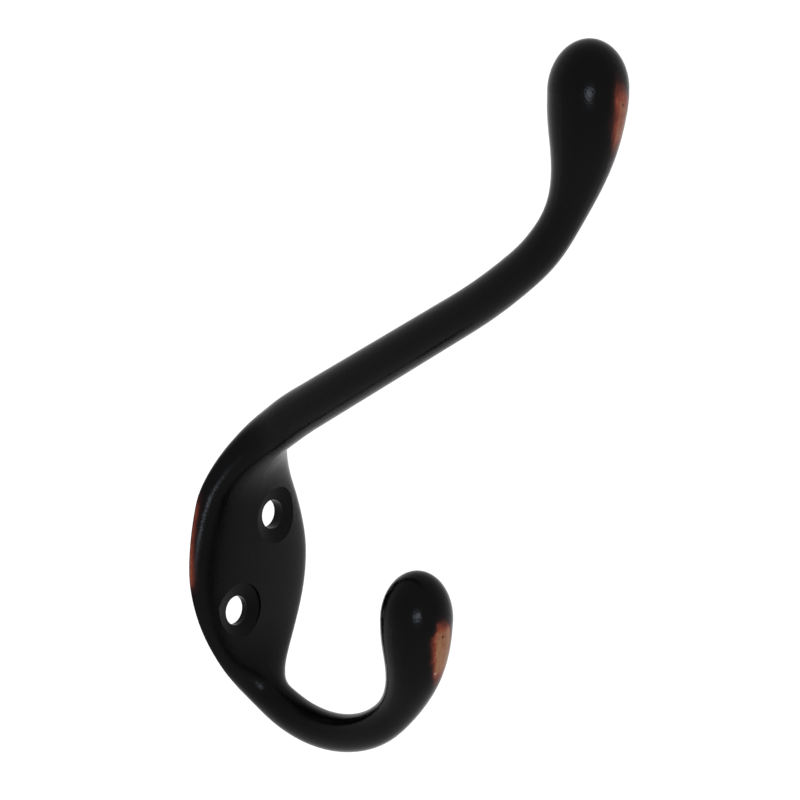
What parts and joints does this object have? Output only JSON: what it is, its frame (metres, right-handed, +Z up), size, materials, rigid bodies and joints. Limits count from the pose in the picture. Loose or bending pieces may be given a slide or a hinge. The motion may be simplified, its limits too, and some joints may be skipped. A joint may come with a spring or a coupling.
{
  "type": "double wall hook",
  "caption": "One-piece cast coat and hat hook: long upper prong and short lower prong with rounded knobs on a leaf-shaped wall plate with countersunk screw holes.",
  "frame": {"origin": "middle of the plate's flat back, half way between the two screw holes", "axes": "+Z up, the wall is the plane Y = 0 with the back facing +Y, the prongs stand out towards -Y, X across"},
  "size_m": [0.0274, 0.085, 0.1206],
  "materials": {
    "dark_bronze": "satin near-black oil-rubbed bronze, worn to copper on the knobs and the plate's edges"
  },
  "bodies": {
    "root": {"hook": "dark_bronze"}
  },
  "joints": []
}
